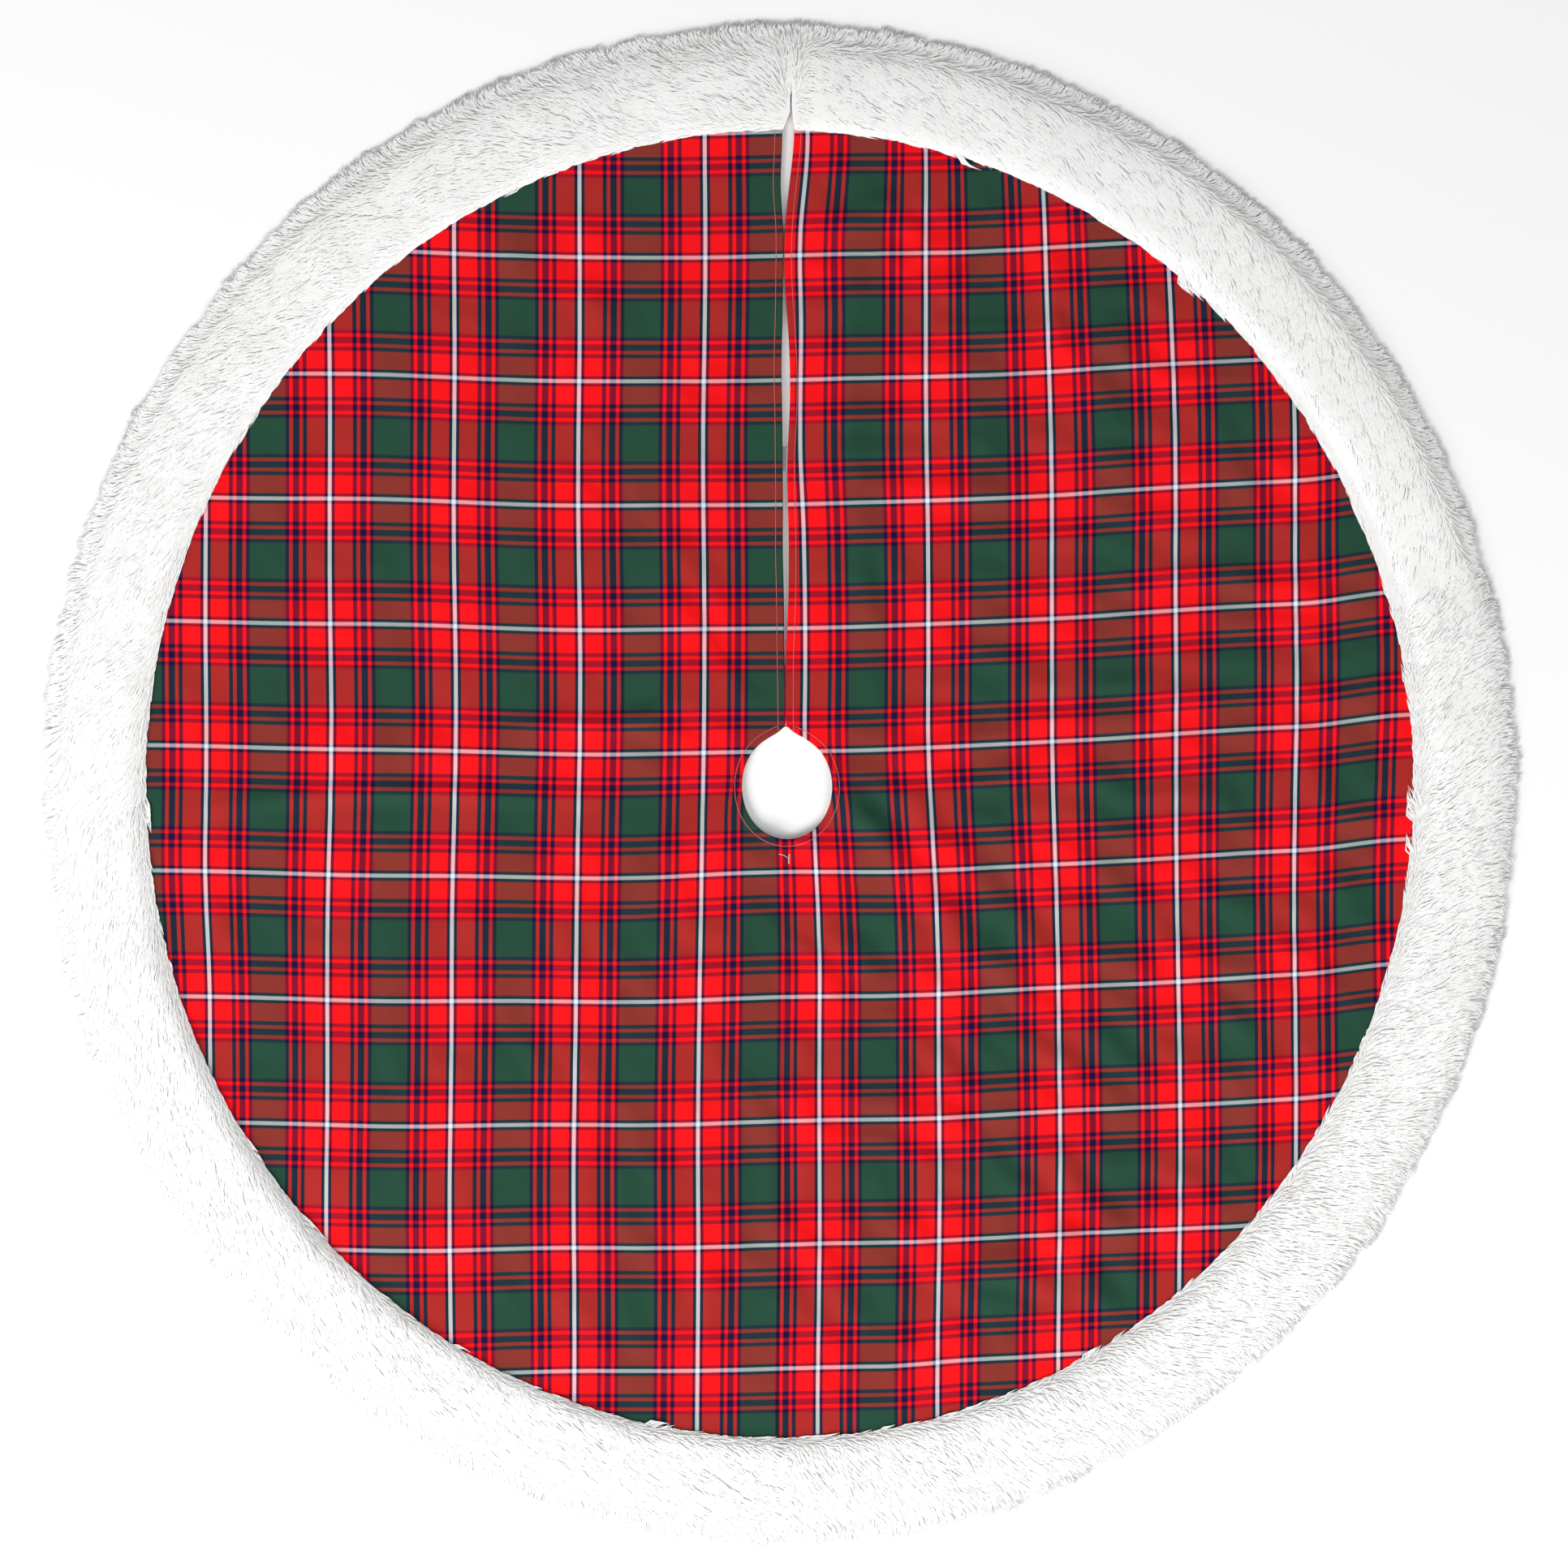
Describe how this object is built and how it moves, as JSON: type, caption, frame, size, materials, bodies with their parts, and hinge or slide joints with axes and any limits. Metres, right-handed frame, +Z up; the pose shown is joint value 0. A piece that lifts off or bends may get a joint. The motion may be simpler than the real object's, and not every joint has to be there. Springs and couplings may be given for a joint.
{
  "type": "tree skirt",
  "caption": "Round plaid cloth with a band of white pile round its rim, a trunk hole at its middle and a slit to the rim that closes with hook-and-loop tabs.",
  "frame": {"origin": "the trunk hole's axis, on the floor that the skirt lies on", "axes": "+Z up, +Y from the trunk hole along the slit to the back, +X to the right seen from above with the slit at the top"},
  "size_m": [1.22, 1.22, 0.0182],
  "materials": {
    "plaid": "matt yarn-dyed twill in a red, green, navy and white plaid",
    "lining": "matt plain weave",
    "fur": "soft white pile",
    "thread": "slightly shiny sewing thread",
    "hook_tape": "woven tape with small plastic hooks",
    "loop_tape": "woven tape with a brushed loop pile",
    "clear_plastic": "glossy translucent white",
    "ribbon": "satin ribbon"
  },
  "bodies": {
    "skirt": {"plaid_front": "plaid", "lining_front": "lining", "fur_front_left": "fur", "fur_front_right": "fur", "topstitch_front": "thread", "tag_pin": "clear_plastic"},
    "left_flap": {"plaid_back_left": "plaid", "lining_back_left": "lining", "fur_back_left": "fur", "topstitch_back_left": "thread", "loop_patch_inner": "loop_tape", "loop_patch_middle": "loop_tape", "loop_patch_outer": "loop_tape"},
    "right_flap": {"plaid_back_right": "plaid", "lining_back_right": "lining", "fur_back_right": "fur", "topstitch_back_right": "thread", "hook_tab_inner": "hook_tape", "hook_tab_middle": "hook_tape", "hook_tab_outer": "hook_tape", "care_label": "ribbon"}
  },
  "joints": [
    {"name": "left_flap_fold", "type": "hinge", "parent": "skirt", "child": "left_flap", "pos_m": [0, 0, 0.0182], "axis": [0.9994, 0.0349, 0], "range_deg": [0, 175]},
    {"name": "right_flap_fold", "type": "hinge", "parent": "skirt", "child": "right_flap", "pos_m": [0, 0, 0.0182], "axis": [0.9563, 0.2924, 0], "range_deg": [0, 175], "deforming": ["hook_tab_inner", "hook_tab_middle", "hook_tab_outer"]}
  ]
}
